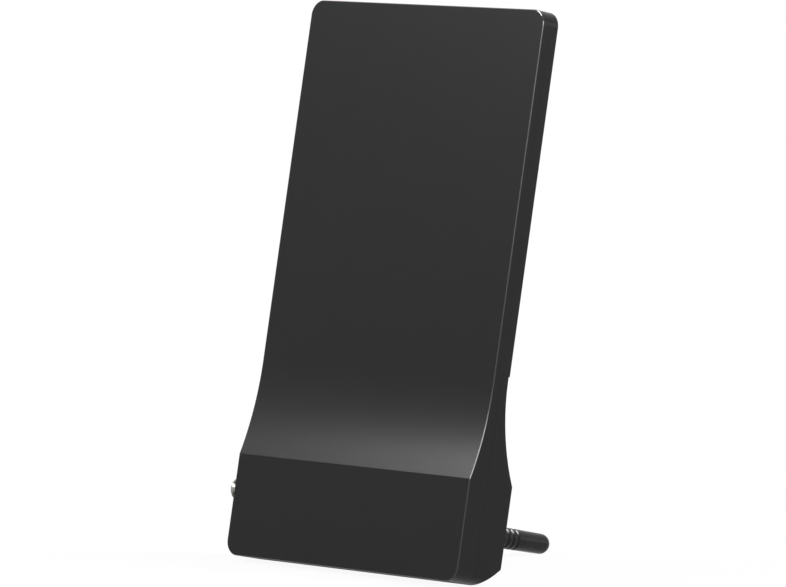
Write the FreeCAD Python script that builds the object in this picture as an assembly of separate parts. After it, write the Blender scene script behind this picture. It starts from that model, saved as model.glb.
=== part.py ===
import FreeCAD, Part
import math
import os

# Indoor television antenna: a thin panel on a slim base, leaning back on one prop leg.
# The pieces are drawn with the panel upright: X across, Y back from the panel's front plane,
# Z up from the base's underside. Last of all they are laid back together until the leg's tip
# and the underside's rear edge stand on the same level.

# Panel and base, outside sizes
panel_width = 120.0
panel_height = 205.0
panel_thickness = 7.6
corner_radius = 5.5
front_edge_radius = 0.5

# Base, ramp and neck in side view
base_step = 5.2
ledge_height = 37.0
ramp_top = 72.5
base_back = 16.3
shoulder_height = 36.4
neck_top = 73.3
bevel_depth = 8.6
bevel_height = 6.9

# Where the two mouldings meet
parting_depth = 3.4
cover_top = 74.6
cover_recess = 0.55
front_wall = 2.0
rear_wall = 1.8
fit_gap = 0.15
lip_thickness = 1.0
lip_reach = 2.0
lip_root = 3.0

# Hooks that hold the cover's upper edge under the rim
hook_offset = 35.0
hook_width = 8.0
hook_thickness = 1.2
hook_reach = 0.9

# Aerial socket in the left side wall
socket_depth = 8.85
socket_height = 24.5
socket_reach = 12.5
barrel_radius = 4.76
thread_root_radius = 4.35
thread_relief = 0.2
barrel_chamfer = 0.4
barrel_bore = 3.3
flange_flats = 10.8
flange_thickness = 2.5
tail_radius = 4.0
tail_length = 4.0
washer_thickness = 0.8
washer_radius = 6.2
nut_flats = 11.1
nut_thickness = 2.5
thread_gap = 0.05
insulator_recess = 0.3
insulator_lip = 1.0
pin_hole_radius = 0.7
contact_radius = 0.9
contact_pin_radius = 0.5
contact_pin_length = 5.5

# Prop leg
leg_height = 20.0
leg_reach = 81.7
leg_root_radius = 4.6
leg_tip_radius = 3.75
groove_count = 4
groove_pitch = 2.65
groove_width = 1.5
groove_depth = 0.4
smooth_tip = 17.6
stud_radius = 2.5
stud_in_leg = 14.0
stud_in_insert = 7.5
insert_radius = 3.6
insert_length = 8.3
insert_below = 0.5
leg_boss_radius = 6.0
leg_boss_floor = 1.8

# Screws: radius of shank and head, head thickness
case_shank = 1.5
case_head = 2.8
case_head_thickness = 2.0
base_screw_length = 11.0
base_screw_offset = 48.0
base_screw_height = 11.6
base_seat_depth = 10.0
neck_screw_length = 6.0
neck_screw_offset = 48.0
neck_screw_height = 58.0
neck_seat_depth = 6.6
seat_thickness = 1.8
head_gap = 0.3
shank_gap = 0.2
boss_radius = 3.2
column_wall = 1.2
board_shank = 1.0
board_head = 2.0
board_head_thickness = 1.4
board_screw_length = 7.0
post_radius = 2.4

# Radiator halves behind the panel
sheet = 0.5
loop_side_gap = 8.0
loop_top_gap = 10.0
loop_gap = 6.0
loop_low = 84.0
strip_width = 12.0
tab_width = 6.0
tab_length = 8.0
stake_radius = 1.2
stake_height = 2.0
stake_gap = 0.1
stake_inset = 18.5
rib_width = 1.0
rib_end_gap = 6.0
rib_inset = 2.5
rib_gap = 0.25

# Amplifier board and what it carries
board_thickness = 1.6
board_length = 38.0
board_low = 16.6
board_high = 36.4
board_hole_inset = 3.8
can_length = 18.0
can_width = 15.0
can_height = 6.0
can_sheet = 0.4
can_start = 7.5
can_low = 1.9
chip_size = 4.5
chip_thickness = 1.5
small_part_count = 4
small_part_pitch = 3.2
small_part_length = 2.0
small_part_width = 1.2
small_part_height = 0.9
core_length = 7.0
core_height = 6.0
core_depth = 4.0
core_hole_radius = 0.8
core_hole_pitch = 3.0
core_low = 6.6
wire_width = 2.0
wire_thickness = 0.8
wire_end_radius = 0.6
wire_bend_height = 50.0
wire_end_drop = 2.4
wire_end_pitch = 5.0
wire_lap = 6.0

# Sizes that follow from those above
half_width = panel_width / 2
loop_outer = half_width - loop_side_gap
loop_high = panel_height - loop_top_gap
stake_low = loop_low + stake_inset
stake_high = loop_high - stake_inset
plate_back = panel_thickness - cover_recess
base_front = -base_step
far = 4 * base_back
board_rear = socket_depth - contact_pin_radius
board_front = board_rear - board_thickness
inner_side = -half_width + rear_wall
board_left = inner_side + flange_thickness + tail_length
board_right = board_left + board_length
groove_end = base_back + leg_reach - smooth_tip


def point(across, back, up):
    return FreeCAD.Vector(across, back, up)


def round_radius(drop, step):
    """Radius of an arc that leaves an upright line and moves sideways by step over the drop."""
    return (drop ** 2 + step ** 2) / (2 * step)


ramp_radius = round_radius(ramp_top - ledge_height, base_step)
neck_radius = round_radius(neck_top - shoulder_height, base_back - plate_back)


def ramp_depth(up, inset):
    """Depth of the front ramp at a height, moved into the wall by the inset."""
    return math.sqrt((ramp_radius + inset) ** 2 - (ramp_top - up) ** 2) - ramp_radius


def ramp_low(inset):
    """Height at which the inset ramp meets the inset base front."""
    reach = ramp_radius - base_step + inset
    return ramp_top - math.sqrt((ramp_radius + inset) ** 2 - reach ** 2)


def neck_depth(up, inset):
    """Depth of the neck's curve at a height, moved into the wall by the inset."""
    centre = plate_back + neck_radius
    return centre - math.sqrt((neck_radius + inset) ** 2 - (neck_top - up) ** 2)


def neck_low(inset):
    """Height at which the inset neck meets the inset base back."""
    reach = plate_back + neck_radius - base_back + inset
    return neck_top - math.sqrt((neck_radius + inset) ** 2 - reach ** 2)


def side_solid(stations, width):
    """Solid of the given width across, from a side outline.

    Each station is (depth, height), or (depth, height, depth_on_arc, height_on_arc) where the stretch
    that leads to it is an arc.
    """
    edges = []
    last = stations[-1]
    for station in stations:
        start = point(-width / 2, last[0], last[1])
        end = point(-width / 2, station[0], station[1])
        if len(station) == 4:
            middle = point(-width / 2, station[2], station[3])
            edges.append(Part.Arc(start, middle, end).toShape())
        else:
            edges.append(Part.LineSegment(start, end).toShape())
        last = station
    return Part.Face(Part.Wire(edges)).extrude(point(width, 0, 0))


def rounded_slab(inset, near, far_side):
    """Front outline of the part, inset by a wall, as a slab from one depth to another."""
    half = half_width - inset
    slab = Part.makeBox(2 * half, far_side - near, panel_height - 2 * inset, point(-half, near, inset))
    along_depth = [edge for edge in slab.Edges if abs(edge.tangentAt(edge.FirstParameter).y) > 0.5]
    return slab.makeFillet(corner_radius - inset, along_depth)


def block(across, back, up):
    """Box between two limits along each axis, in any order."""
    low = [min(pair) for pair in (across, back, up)]
    size = [abs(pair[1] - pair[0]) for pair in (across, back, up)]
    return Part.makeBox(*size, point(*low))


def rod(radius, across, up, near, far_side):
    """Cylinder along the depth."""
    return Part.makeCylinder(radius, far_side - near, point(across, near, up), point(0, 1, 0))


def socket_rod(radius, start, length):
    """Cylinder on the socket's axis, from a place across the part towards the left."""
    return Part.makeCylinder(radius, length, point(start, socket_depth, socket_height), point(-1, 0, 0))


def socket_hexagon(flats, start, length):
    """Hexagonal prism on the socket's axis, with two flats facing front and back."""
    corner = flats / math.sqrt(3)
    corners = []
    for index in range(6):
        turn = math.radians(60 * index)
        back = socket_depth + corner * math.sin(turn)
        corners.append(point(start, back, socket_height + corner * math.cos(turn)))
    outline = Part.makePolygon(corners + corners[:1])
    return Part.Face(outline).extrude(point(-length, 0, 0))


def mirrored_pair(offset):
    """The two places across the part at one distance from its middle plane."""
    return (-offset, offset)


def outer_body():
    """Outside of the closed part: the side outline cut to the rounded front outline, front edges eased."""
    ramp_middle = (ledge_height + ramp_top) / 2
    neck_middle = (shoulder_height + neck_top) / 2
    body = side_solid([
        (base_front, 0),
        (base_front, ledge_height),
        (0, ramp_top, ramp_depth(ramp_middle, 0), ramp_middle),
        (0, panel_height),
        (panel_thickness, panel_height),
        (panel_thickness, cover_top),
        (plate_back, cover_top),
        (plate_back, neck_top),
        (base_back, shoulder_height, neck_depth(neck_middle, 0), neck_middle),
        (base_back, bevel_height),
        (base_back - bevel_depth, 0),
    ], panel_width)
    body = body.common(rounded_slab(0, -far, far))
    return body.makeFillet(front_edge_radius, [edge for edge in body.Edges if on_front_border(edge)])


def front_depth(up):
    """Depth of the front surface at a height."""
    if up <= ledge_height:
        return base_front
    if up >= ramp_top:
        return 0.0
    return ramp_depth(up, 0)


def on_front_border(edge):
    """Whether an edge lies on the front surface, the smooth join of ramp and panel left out."""
    near = 0.01
    span = edge.LastParameter - edge.FirstParameter
    places = [edge.valueAt(edge.FirstParameter + span * share) for share in (0.02, 0.5, 0.98)]
    if all(abs(place.z - ramp_top) < near for place in places):
        return False
    return all(abs(place.y - front_depth(place.z)) < near for place in places)


def front_cavity():
    """Room inside the front housing, open at the back."""
    low = ramp_low(front_wall)
    middle = (low + ramp_top) / 2
    room = side_solid([
        (base_front + front_wall, 0),
        (base_front + front_wall, low),
        (front_wall, ramp_top, ramp_depth(middle, front_wall), middle),
        (front_wall, panel_height),
        (far, panel_height),
        (far, 0),
    ], panel_width)
    return room.common(rounded_slab(front_wall, -far, far))


def rear_cavity():
    """Room inside the rear cover's base and neck, open at the front and the top."""
    slope = math.hypot(bevel_depth, bevel_height)
    shift_back = rear_wall * bevel_height / slope
    shift_up = rear_wall * bevel_depth / slope
    bevel_start = base_back - bevel_depth - shift_back
    low_depth = bevel_start + (rear_wall - shift_up) * bevel_depth / bevel_height
    back = base_back - rear_wall
    high_up = shift_up + (back - bevel_start) * bevel_height / bevel_depth
    low = neck_low(rear_wall)
    middle = (low + neck_top) / 2
    room = side_solid([
        (base_front, rear_wall),
        (low_depth, rear_wall),
        (back, high_up),
        (back, low),
        (plate_back - rear_wall, neck_top, neck_depth(middle, rear_wall), middle),
        (plate_back - rear_wall, panel_height),
        (base_front, panel_height),
    ], panel_width)
    return room.common(rounded_slab(rear_wall, -far, far))


def case_screw_places():
    """Where the housing screws sit: across, height, seat depth and depth of the front wall's inside."""
    places = []
    for across in mirrored_pair(base_screw_offset):
        places.append((across, base_screw_height, base_seat_depth, base_front + front_wall))
    for across in mirrored_pair(neck_screw_offset):
        wall_inside = ramp_depth(neck_screw_height, front_wall)
        places.append((across, neck_screw_height, neck_seat_depth, wall_inside))
    return places


def case_screw_length(height):
    return base_screw_length if height == base_screw_height else neck_screw_length


def board_screw_places():
    low = board_low + board_hole_inset
    high = board_high - board_hole_inset
    return [(board_left + board_hole_inset, high), (board_right - board_hole_inset, low)]


def stake_places():
    """Pins that carry the two radiator halves."""
    middle = loop_outer - strip_width / 2
    return [(across, up) for across in mirrored_pair(middle) for up in (stake_low, stake_high)]


def hook_solid(across, gap):
    """Hook at the cover's upper edge, or the pocket for it when grown by a gap."""
    top = panel_height - front_wall + hook_reach + gap
    middle = plate_back - rear_wall / 2
    return block(
        (across - hook_width / 2 - gap, across + hook_width / 2 + gap),
        (middle - hook_thickness / 2 - gap, middle + hook_thickness / 2 + gap),
        (panel_height - 2 * front_wall, top),
    )


def make_front_housing(body):
    """Front moulding: panel with its rim, ramp, ledge and base front."""
    upper = block((-far - half_width, far + half_width), (-far, far), (cover_top, 2 * panel_height))
    lower = block((-far - half_width, far + half_width), (-far, parting_depth), (-far, cover_top))
    shell = body.common(upper.fuse(lower)).cut(front_cavity())
    added = []
    holes = []
    for across, up, seat, inside in case_screw_places():
        end = seat - seat_thickness
        added.append(rod(boss_radius, across, up, inside - front_wall / 2, end))
        holes.append(rod(case_shank, across, up, seat - case_screw_length(up), end))
    for across, up in board_screw_places():
        added.append(rod(post_radius, across, up, base_front + front_wall / 2, board_front))
        holes.append(rod(board_shank, across, up, board_rear - board_screw_length, board_front))
    for across, up in stake_places():
        added.append(rod(stake_radius, across, up, front_wall / 2, front_wall + stake_height))
    for across in mirrored_pair(hook_offset):
        holes.append(hook_solid(across, fit_gap))
    return shell.multiFuse(added).cut(Part.makeCompound(holes)).removeSplitter()


def cover_lip():
    """Lip that seats the cover inside the housing's base walls, cut back round the socket."""
    outer = front_wall + fit_gap
    inner = outer + lip_thickness
    near = parting_depth - lip_reach
    end = parting_depth + lip_root
    lip = rounded_slab(outer, near, parting_depth).fuse(rounded_slab(rear_wall / 2, parting_depth, end))
    lip = lip.cut(rounded_slab(inner, near, end))
    lip = lip.common(block((-half_width, half_width), (near, end), (0, ledge_height)))
    reach = flange_flats / math.sqrt(3) + fit_gap
    beside_socket = (socket_height - reach, socket_height + reach)
    return lip.cut(block((-half_width, -half_width + inner), (near, end), beside_socket))


def make_rear_cover(body):
    """Rear moulding: inset back plate, neck, base back, leg boss and screw columns."""
    everything = half_width + far
    region = block((-everything, everything), (parting_depth, far), (-far, cover_top))
    shell = body.common(region).cut(rear_cavity())
    plate = rounded_slab(front_wall + fit_gap, plate_back - rear_wall, plate_back)
    above_notch = (cover_top - rear_wall, 2 * panel_height)
    plate = plate.common(block((-everything, everything), (-far, far), above_notch))
    boss_end = base_back - insert_below - insert_length
    leg_boss = rod(leg_boss_radius, 0, leg_height, boss_end - leg_boss_floor, base_back - rear_wall / 2)
    added = [plate, cover_lip(), leg_boss]
    holes = [rod(insert_radius, 0, leg_height, boss_end, far)]
    for across, up, seat, _ in case_screw_places():
        column = case_head + head_gap + column_wall
        start = seat - seat_thickness
        added.append(rod(column, across, up, start, far).common(body))
        holes.append(rod(case_head + head_gap, across, up, seat, far))
        holes.append(rod(case_shank + shank_gap, across, up, start, far))
    rib_middle = loop_outer - strip_width + rib_inset
    for across in mirrored_pair(rib_middle):
        added.append(block(
            (across - rib_width / 2, across + rib_width / 2),
            (front_wall + sheet + rib_gap, plate_back - rear_wall / 2),
            (stake_low + rib_end_gap, stake_high - rib_end_gap),
        ))
    for across in mirrored_pair(hook_offset):
        added.append(hook_solid(across, 0))
    holes.append(socket_rod(barrel_radius + fit_gap, inner_side + rear_wall, far))
    return shell.multiFuse(added).cut(Part.makeCompound(holes)).removeSplitter()


def make_radiator(side):
    """One half of the loop dipole: three strips and a feed tab, with holes for its stakes."""
    inner = loop_gap / 2
    deep = (front_wall, front_wall + sheet)
    upright = block((side * (loop_outer - strip_width), side * loop_outer), deep, (loop_low, loop_high))
    arms = [
        block((side * inner, side * loop_outer), deep, (loop_high - strip_width, loop_high)),
        block((side * inner, side * loop_outer), deep, (loop_low, loop_low + strip_width)),
        block((side * inner, side * (inner + tab_width)), deep, (loop_low - tab_length, loop_low)),
    ]
    holes = [rod(stake_radius + stake_gap, across, up, 0, far) for across, up in stake_places()]
    return upright.multiFuse(arms).cut(Part.makeCompound(holes)).removeSplitter()


def flat_run(first, second):
    """Straight run of flat wire between two spots at one depth."""
    along = (second - first).normalize()
    aside = along.cross(point(0, 1, 0)) * (wire_width / 2)
    corners = [first + aside, second + aside, second - aside, first - aside, first + aside]
    return Part.Face(Part.makePolygon(corners)).extrude(point(0, wire_thickness, 0))


def make_wire(side):
    """Flat feed wire: down from its tab, across the neck, and its bare end square into the board's face."""
    start_across = side * (loop_gap + tab_width) / 2
    end_across = board_right - wire_end_pitch - (wire_end_pitch if side < 0 else 0)
    front = front_wall + sheet
    top = point(start_across, front, loop_low - tab_length + wire_lap)
    bend = point(start_across, front, wire_bend_height)
    end = point(end_across, front, board_high - wire_end_drop)
    turns = [rod(wire_width / 2, spot.x, spot.z, front, front + wire_thickness) for spot in (bend, end)]
    bare_end = rod(wire_end_radius, end.x, end.z, front, board_front)
    return flat_run(top, bend).multiFuse([flat_run(bend, end), bare_end] + turns).removeSplitter()


def make_board():
    board = block((board_left, board_right), (board_front, board_rear), (board_low, board_high))
    holes = [rod(board_shank + shank_gap, across, up, 0, far) for across, up in board_screw_places()]
    return board.cut(Part.makeCompound(holes))


def can_place():
    """Left and lower edge of the shield can."""
    return board_left + can_start, board_low + can_low


def make_shield_can():
    left, low = can_place()
    across = (left, left + can_length)
    up = (low, low + can_width)
    shell = block(across, (board_front - can_height, board_front), up)
    room = block(
        (across[0] + can_sheet, across[1] - can_sheet),
        (board_front - can_height + can_sheet, board_front),
        (up[0] + can_sheet, up[1] - can_sheet),
    )
    return shell.cut(room)


def make_chip():
    left, low = can_place()
    across = left + (can_length - chip_size) / 2
    up = low + can_width - 2 * can_sheet - chip_size
    deep = (board_front - chip_thickness, board_front)
    return block((across, across + chip_size), deep, (up, up + chip_size))


def make_small_parts():
    """Row of small parts below the amplifier."""
    left, low = can_place()
    row = (small_part_count - 1) * small_part_pitch + small_part_length
    start = left + (can_length - row) / 2
    up = low + small_part_pitch
    pieces = []
    for index in range(small_part_count):
        across = start + index * small_part_pitch
        pieces.append(block(
            (across, across + small_part_length),
            (board_front - small_part_height, board_front),
            (up, up + small_part_width),
        ))
    return Part.makeCompound(pieces)


def make_balun_core():
    left, low = can_place()
    start = left + can_length + (board_right - left - can_length - core_length) / 2
    base = board_low + core_low
    deep = (board_front - core_depth, board_front)
    core = block((start, start + core_length), deep, (base, base + core_height))
    middle = start + core_length / 2
    holes = []
    for across in mirrored_pair(core_hole_pitch / 2):
        foot = point(middle + across, board_front - core_depth / 2, base)
        holes.append(Part.makeCylinder(core_hole_radius, core_height, foot))
    return core.cut(Part.makeCompound(holes))


def make_socket_body():
    """Turned and milled body: hexagonal flange inside the wall, barrel outside, tail towards the board."""
    flange = socket_hexagon(flange_flats, inner_side + flange_thickness, flange_thickness)
    tail = socket_rod(tail_radius, board_left, tail_length)
    under_nut = rear_wall + washer_thickness + nut_thickness + thread_relief
    neck = socket_rod(thread_root_radius, inner_side, under_nut)
    barrel = socket_rod(barrel_radius, inner_side - under_nut, rear_wall + socket_reach - under_nut)
    mouth = -half_width - socket_reach
    rim = [edge for edge in barrel.Edges if abs(edge.valueAt(edge.FirstParameter).x - mouth) < 0.01]
    barrel = barrel.makeChamfer(barrel_chamfer, [edge for edge in rim if edge.isClosed()])
    body = flange.multiFuse([tail, neck, barrel])
    return body.cut(socket_rod(barrel_bore, board_left, far)).removeSplitter()


def make_insulator():
    mouth = -half_width - socket_reach + insulator_recess
    length = board_left - mouth
    core = socket_rod(barrel_bore, board_left, length)
    bore = socket_rod(contact_radius, board_left, length - insulator_lip)
    return core.cut(bore).cut(socket_rod(pin_hole_radius, board_left, length))


def make_contact():
    """Centre contact: a spring tube in the insulator, and a pin that lies on the board."""
    mouth = -half_width - socket_reach + insulator_recess + insulator_lip
    tube = socket_rod(contact_radius, board_left, board_left - mouth)
    hollow = socket_rod(contact_pin_radius, (board_left + mouth) / 2, far)
    pin = socket_rod(contact_pin_radius, board_left + contact_pin_length, contact_pin_length)
    return tube.cut(hollow).fuse(pin).removeSplitter()


def make_washer():
    ring = socket_rod(washer_radius, -half_width, washer_thickness)
    return ring.cut(socket_rod(barrel_radius + thread_gap, -half_width, washer_thickness))


def make_nut():
    start = -half_width - washer_thickness
    bore = socket_rod(thread_root_radius + thread_gap, start, nut_thickness)
    return socket_hexagon(nut_flats, start, nut_thickness).cut(bore)


def leg_radius_at(depth):
    """Radius of the leg's taper at a depth."""
    tip = base_back + leg_reach - leg_tip_radius
    share = (depth - base_back) / (tip - base_back)
    return leg_root_radius + (leg_tip_radius - leg_root_radius) * share


def make_leg():
    """Tapered leg turned about its axis, with grip grooves and a round tip."""
    outline = [(base_back, 0.0), (base_back, leg_root_radius)]
    for index in reversed(range(groove_count)):
        end = groove_end - index * groove_pitch
        start = end - groove_width
        middle = (start + end) / 2
        outline.append((start, leg_radius_at(start)))
        outline.append((middle, leg_radius_at(middle) - groove_depth))
        outline.append((end, leg_radius_at(end)))
    tip_centre = base_back + leg_reach - leg_tip_radius
    outline.append((tip_centre, leg_tip_radius))
    spots = [point(0, depth, leg_height + radius) for depth, radius in outline]
    edges = [Part.LineSegment(first, second).toShape() for first, second in zip(spots, spots[1:])]
    end = point(0, base_back + leg_reach, leg_height)
    diagonal = leg_tip_radius * math.sqrt(0.5)
    middle = point(0, tip_centre + diagonal, leg_height + diagonal)
    edges.append(Part.Arc(spots[-1], middle, end).toShape())
    edges.append(Part.LineSegment(end, spots[0]).toShape())
    leg = Part.Face(Part.Wire(edges)).revolve(point(0, 0, leg_height), point(0, 1, 0), 360)
    return leg.cut(rod(stud_radius, 0, leg_height, base_back, base_back + stud_in_leg))


def make_stud():
    start = base_back - stud_in_insert
    return rod(stud_radius, 0, leg_height, start, base_back + stud_in_leg)


def make_insert():
    start = base_back - insert_below - insert_length
    sleeve = rod(insert_radius, 0, leg_height, start, start + insert_length)
    return sleeve.cut(rod(stud_radius, 0, leg_height, start, far))


def screw(across, up, seat, shank, head, thickness, length):
    """Pan-head screw with its head on the seat, pointing to the front."""
    return rod(head, across, up, seat, seat + thickness).fuse(rod(shank, across, up, seat - length, seat))


def make_case_screws(height, length):
    places = [place for place in case_screw_places() if place[1] == height]
    return Part.makeCompound([
        screw(across, up, seat, case_shank, case_head, case_head_thickness, length)
        for across, up, seat, _ in places
    ])


def make_board_screws():
    return Part.makeCompound([
        screw(across, up, board_rear, board_shank, board_head, board_head_thickness, board_screw_length)
        for across, up in board_screw_places()
    ])


def lean_angle():
    """Degrees that the part leans back when the leg's tip and the underside's rear edge share a level."""
    run = leg_reach - leg_tip_radius + bevel_depth
    turn = math.acos(leg_tip_radius / math.hypot(leg_height, run)) - math.atan2(run, leg_height)
    return math.degrees(turn)


def lay_back(shapes):
    """Lean every piece back, then bring the middle of the part's footprint to the origin."""
    for shape in shapes.values():
        shape.rotate(point(0, 0, 0), point(1, 0, 0), -lean_angle())
    box = Part.makeCompound(list(shapes.values())).optimalBoundingBox(False, False)
    for shape in shapes.values():
        shape.translate(point(-box.Center.x, -box.Center.y, -box.ZMin))


def main():
    body = outer_body()
    pieces = {
        "front_housing": make_front_housing(body),
        "rear_cover": make_rear_cover(body),
        "left_radiator": make_radiator(-1),
        "right_radiator": make_radiator(1),
        "feed_wires": Part.makeCompound([make_wire(-1), make_wire(1)]),
        "amplifier_board": make_board(),
        "shield_can": make_shield_can(),
        "amplifier_chip": make_chip(),
        "chip_parts": make_small_parts(),
        "balun_core": make_balun_core(),
        "f_socket_body": make_socket_body(),
        "f_socket_insulator": make_insulator(),
        "f_socket_contact": make_contact(),
        "f_socket_washer": make_washer(),
        "f_socket_nut": make_nut(),
        "rear_leg": make_leg(),
        "leg_stud": make_stud(),
        "leg_insert": make_insert(),
        "base_screws": make_case_screws(base_screw_height, base_screw_length),
        "neck_screws": make_case_screws(neck_screw_height, neck_screw_length),
        "board_screws": make_board_screws(),
    }
    lay_back(pieces)
    os.makedirs("parts", exist_ok=True)
    for name, shape in pieces.items():
        shape.exportStep(f"parts/{name}.step")


main()
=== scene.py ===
"""Looks of a slim indoor television antenna: a leaning panel on a stepped base, with one prop leg."""

import logging
import math
from dataclasses import dataclass
from enum import Enum
from typing import Callable, Iterable, Sequence

import bmesh
import bpy
from mathutils import Matrix, Vector


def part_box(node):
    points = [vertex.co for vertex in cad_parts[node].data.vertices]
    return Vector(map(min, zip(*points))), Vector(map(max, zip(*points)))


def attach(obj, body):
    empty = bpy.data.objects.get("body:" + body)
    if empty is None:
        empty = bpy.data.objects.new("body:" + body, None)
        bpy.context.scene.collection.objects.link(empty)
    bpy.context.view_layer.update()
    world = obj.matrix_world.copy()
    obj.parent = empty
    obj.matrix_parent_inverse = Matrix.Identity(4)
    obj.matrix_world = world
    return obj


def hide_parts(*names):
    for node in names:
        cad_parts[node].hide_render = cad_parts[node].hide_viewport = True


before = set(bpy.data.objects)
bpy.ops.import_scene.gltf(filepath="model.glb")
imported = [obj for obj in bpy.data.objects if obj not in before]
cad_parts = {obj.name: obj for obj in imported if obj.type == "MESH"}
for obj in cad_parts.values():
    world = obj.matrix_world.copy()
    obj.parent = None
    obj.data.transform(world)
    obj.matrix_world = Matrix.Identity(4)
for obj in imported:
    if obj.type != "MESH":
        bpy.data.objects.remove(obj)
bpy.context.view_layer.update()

log = logging.getLogger("antenna")

MM = 0.001
BODY = "root"
MERGE_DISTANCE = 1e-6
SMOOTH_ANGLE = math.radians(32.0)
END_FACE_COSINE = math.cos(math.radians(14.0))

# Sockets of a Mix node that mixes colours: share, first colour and second colour, and the result
COLOUR_MIX_INPUTS = (0, 6, 7)
COLOUR_MIX_RESULT = 2

# Patterns of the shared groups: heights and scales as shares, details as numbers of finer layers
PIT_HEIGHT = 0.6
FINE_SCALE = 1.7
FINE_DETAIL = 2.0
CLOUD_DETAIL = 3.0
LINE_SCALE = 4.0
LINE_DETAIL = 3.0
STAIN_SCALE = 0.6
STAIN_DETAIL = 2.0

Colour = tuple[float, float, float]
Pairs = tuple[tuple[float, float], ...]
FaceChoice = Callable[[bpy.types.MeshPolygon], bool]

# A ring gives its distance from the middle plane and its radius at any angle
Ring = Callable[[float], tuple[float, float]]


class Slot(Enum):
    """Material slots of the record."""

    MOULDING = "black_moulding"
    LEG = "black_leg"
    RADIATOR = "radiator_sheet"
    WIRE = "wire_jacket"
    BOARD = "circuit_board"
    TINPLATE = "tinplate"
    RESIN = "chip_resin"
    FERRITE = "ferrite"
    NICKEL = "nickel"
    INSULATOR = "insulator"
    BRASS = "contact_brass"
    ZINC = "zinc_steel"


class ToolMarks(Enum):
    """Marks that a tool leaves on metal, as a stretch of their pattern along X, Y and Z."""

    TURNED = (900.0, 40.0, 40.0)
    ROLLED = (60.0, 900.0, 60.0)
    PLATED = (260.0, 260.0, 260.0)

    def along(self) -> dict[str, float]:
        """Stretch by the names of the pattern's inputs."""
        return dict(zip(("Along X", "Along Y", "Along Z"), self.value))


class FaceMark(Enum):
    """Attributes that set some faces of a moulding apart from the rest."""

    POLISHED = "polished_edge"
    COARSE = "coarse_end"


class Acts(Enum):
    """Whether a lamp acts on matt surfaces, and whether on glossy ones."""

    BOTH = (True, True)
    MATT = (True, False)
    GLOSS = (False, True)


# Node helpers

class NodeWork:
    """Short forms for building a node tree."""

    def __init__(self, tree: bpy.types.NodeTree) -> None:
        """Empty the tree and keep it."""
        self.tree = tree
        tree.nodes.clear()

    def node(self, kind: str, **settings: object) -> bpy.types.Node:
        """Add a node.

        Args:
            kind: Blender's name of the node type.
            settings: Properties to set on it.

        Returns:
            The new node.
        """
        made = self.tree.nodes.new(kind)
        for name, value in settings.items():
            setattr(made, name, value)
        return made

    def feed(self, socket: bpy.types.NodeSocket, value: object) -> None:
        """Link another socket into a socket, or set its constant.

        Args:
            socket: Input to feed.
            value: An output socket, or a constant.
        """
        if isinstance(value, bpy.types.NodeSocket):
            self.tree.links.new(value, socket)
        else:
            socket.default_value = value

    def math(self, operation: str, *values: object) -> bpy.types.NodeSocket:
        """Add a Math node.

        Args:
            operation: Name of the operation.
            values: Its inputs, as sockets or numbers.

        Returns:
            The result's socket.
        """
        made = self.node("ShaderNodeMath", operation=operation)
        for socket, value in zip(made.inputs, values):
            self.feed(socket, value)
        return made.outputs[0]

    def chain(self, operation: str, values: Sequence[object]) -> bpy.types.NodeSocket:
        """Join any number of values by one operation.

        Args:
            operation: Name of the operation.
            values: Sockets or numbers, in order.

        Returns:
            The result's socket.
        """
        result = values[0]
        for value in values[1:]:
            result = self.math(operation, result, value)
        return result

    def total(self, *values: object) -> bpy.types.NodeSocket:
        """Add up any number of values."""
        return self.chain("ADD", values)

    def product(self, *values: object) -> bpy.types.NodeSocket:
        """Multiply any number of values."""
        return self.chain("MULTIPLY", values)

    def share(self, value: object, low: object, high: object) -> bpy.types.NodeSocket:
        """Say how far a value has come from one number to another, held between 0 and 1.

        Args:
            value: Value to place.
            low: Number at which the share is 0.
            high: Number at which the share is 1.

        Returns:
            The share's socket.
        """
        made = self.node("ShaderNodeMapRange", clamp=True)
        self.feed(made.inputs["Value"], value)
        self.feed(made.inputs["From Min"], low)
        self.feed(made.inputs["From Max"], high)
        return made.outputs["Result"]


class ShaderTree(NodeWork):
    """Short forms for building a material or a shader node group."""

    def noise(self, vector: bpy.types.NodeSocket, scale: object, detail: float) -> bpy.types.NodeSocket:
        """Add a noise texture.

        Args:
            vector: Coordinates to read it at.
            scale: Its scale, as a socket or a number.
            detail: Number of finer layers.

        Returns:
            The noise value's socket.
        """
        made = self.node("ShaderNodeTexNoise")
        self.feed(made.inputs["Vector"], vector)
        self.feed(made.inputs["Scale"], scale)
        made.inputs["Detail"].default_value = detail
        return made.outputs["Fac"]

    def blend(self, share: object, first: object, second: object) -> bpy.types.NodeSocket:
        """Mix two colours.

        Args:
            share: Share of the second colour.
            first: First colour.
            second: Second colour.

        Returns:
            The mixed colour's socket.
        """
        made = self.node("ShaderNodeMix", data_type="RGBA")
        for index, value in zip(COLOUR_MIX_INPUTS, (share, first, second)):
            self.feed(made.inputs[index], value)
        return made.outputs[COLOUR_MIX_RESULT]

    def between(self, value: object, low: float, high: float) -> bpy.types.NodeSocket:
        """Map a value from 0 to 1 onto a range.

        Args:
            value: Value to map.
            low: Result at 0.
            high: Result at 1.

        Returns:
            The mapped value's socket.
        """
        made = self.node("ShaderNodeMapRange")
        self.feed(made.inputs["Value"], value)
        made.inputs["To Min"].default_value = low
        made.inputs["To Max"].default_value = high
        return made.outputs["Result"]

    def mark(self, mark: FaceMark) -> bpy.types.NodeSocket:
        """Read how far a face of the piece carries a mark, from 0 to 1."""
        return self.node("ShaderNodeAttribute", attribute_name=mark.value).outputs["Fac"]


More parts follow.
